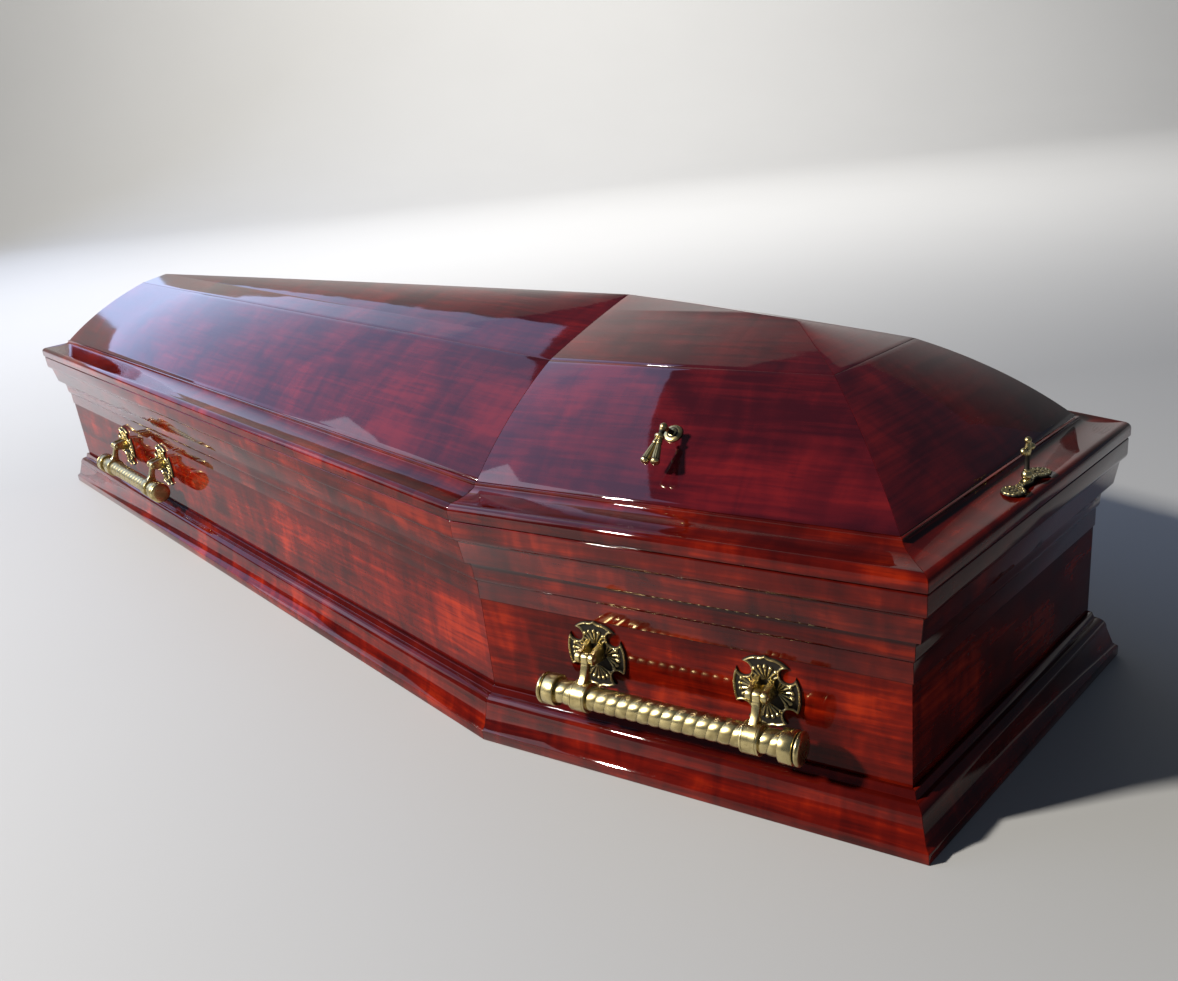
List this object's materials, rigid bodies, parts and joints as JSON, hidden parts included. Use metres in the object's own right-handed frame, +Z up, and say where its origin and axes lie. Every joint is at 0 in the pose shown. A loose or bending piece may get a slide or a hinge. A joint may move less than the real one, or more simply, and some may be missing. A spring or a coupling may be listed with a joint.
{
  "type": "wooden coffin",
  "caption": "Six-sided lacquered wooden coffin with a moulded lid, swing-bar handles on cast rosettes, a tassel ornament and a cross-headed lid screw.",
  "frame": {"origin": "on the underside, at the middle of the footprint", "axes": "+X to the head end, +Z up, -Y to the side with the tassel ornament"},
  "size_m": [2, 0.6604, 0.4422],
  "materials": {
    "mahogany": "high gloss lacquer",
    "antique_brass": "antique, satin"
  },
  "bodies": {
    "coffin": {"floor_board": "mahogany", "wall_foot_near": "mahogany", "wall_head_near": "mahogany", "wall_head_end": "mahogany", "wall_head_far": "mahogany", "wall_foot_far": "mahogany", "wall_foot_end": "mahogany", "base_moulding_foot_near": "mahogany", "base_moulding_head_near": "mahogany", "base_moulding_head_end": "mahogany", "base_moulding_head_far": "mahogany", "base_moulding_foot_far": "mahogany", "base_moulding_foot_end": "mahogany", "cornice_foot_near": "mahogany", "cornice_head_near": "mahogany", "cornice_head_end": "mahogany", "cornice_head_far": "mahogany", "cornice_foot_far": "mahogany", "cornice_foot_end": "mahogany", "lid_brim_foot_near": "mahogany", "lid_brim_head_near": "mahogany", "lid_brim_head_end": "mahogany", "lid_brim_head_far": "mahogany", "lid_brim_foot_far": "mahogany", "lid_brim_foot_end": "mahogany", "lid_slope_foot_near": "mahogany", "lid_slope_head_near": "mahogany", "lid_slope_head_end": "mahogany", "lid_slope_head_far": "mahogany", "lid_slope_foot_far": "mahogany", "lid_slope_foot_end": "mahogany", "lid_roof_foot_near": "mahogany", "lid_roof_head_near": "mahogany", "lid_roof_head_end": "mahogany", "lid_roof_head_far": "mahogany", "lid_roof_foot_far": "mahogany", "lid_roof_foot_end": "mahogany", "rosette_foot_near_a": "antique_brass", "rosette_foot_near_b": "antique_brass", "rosette_head_near_a": "antique_brass", "rosette_head_near_b": "antique_brass", "rosette_head_far_a": "antique_brass", "rosette_head_far_b": "antique_brass", "rosette_foot_far_a": "antique_brass", "rosette_foot_far_b": "antique_brass", "tassel_ornament": "antique_brass", "lid_screw_plate": "antique_brass", "lid_screw": "antique_brass"},
    "handle_foot_near": {"handle_arm_foot_near_a": "antique_brass", "handle_arm_foot_near_b": "antique_brass", "handle_bar_foot_near": "antique_brass"},
    "handle_head_near": {"handle_arm_head_near_a": "antique_brass", "handle_arm_head_near_b": "antique_brass", "handle_bar_head_near": "antique_brass"},
    "handle_head_far": {"handle_arm_head_far_a": "antique_brass", "handle_arm_head_far_b": "antique_brass", "handle_bar_head_far": "antique_brass"},
    "handle_foot_far": {"handle_arm_foot_far_a": "antique_brass", "handle_arm_foot_far_b": "antique_brass", "handle_bar_foot_far": "antique_brass"}
  },
  "joints": [
    {"name": "swing_foot_near", "type": "hinge", "parent": "coffin", "child": "handle_foot_near", "pos_m": [-0.58088, -0.22829, 0.135], "axis": [-0.9963, 0.0863, 0], "range_deg": [0, 90]},
    {"name": "swing_head_near", "type": "hinge", "parent": "coffin", "child": "handle_head_near", "pos_m": [0.74302, -0.27079, 0.135], "axis": [-0.9787, -0.2055, 0], "range_deg": [0, 90]},
    {"name": "swing_head_far", "type": "hinge", "parent": "coffin", "child": "handle_head_far", "pos_m": [0.74302, 0.27079, 0.135], "axis": [0.9787, -0.2055, 0], "range_deg": [0, 90]},
    {"name": "swing_foot_far", "type": "hinge", "parent": "coffin", "child": "handle_foot_far", "pos_m": [-0.58088, 0.22829, 0.135], "axis": [0.9963, 0.0863, 0], "range_deg": [0, 90]}
  ]
}
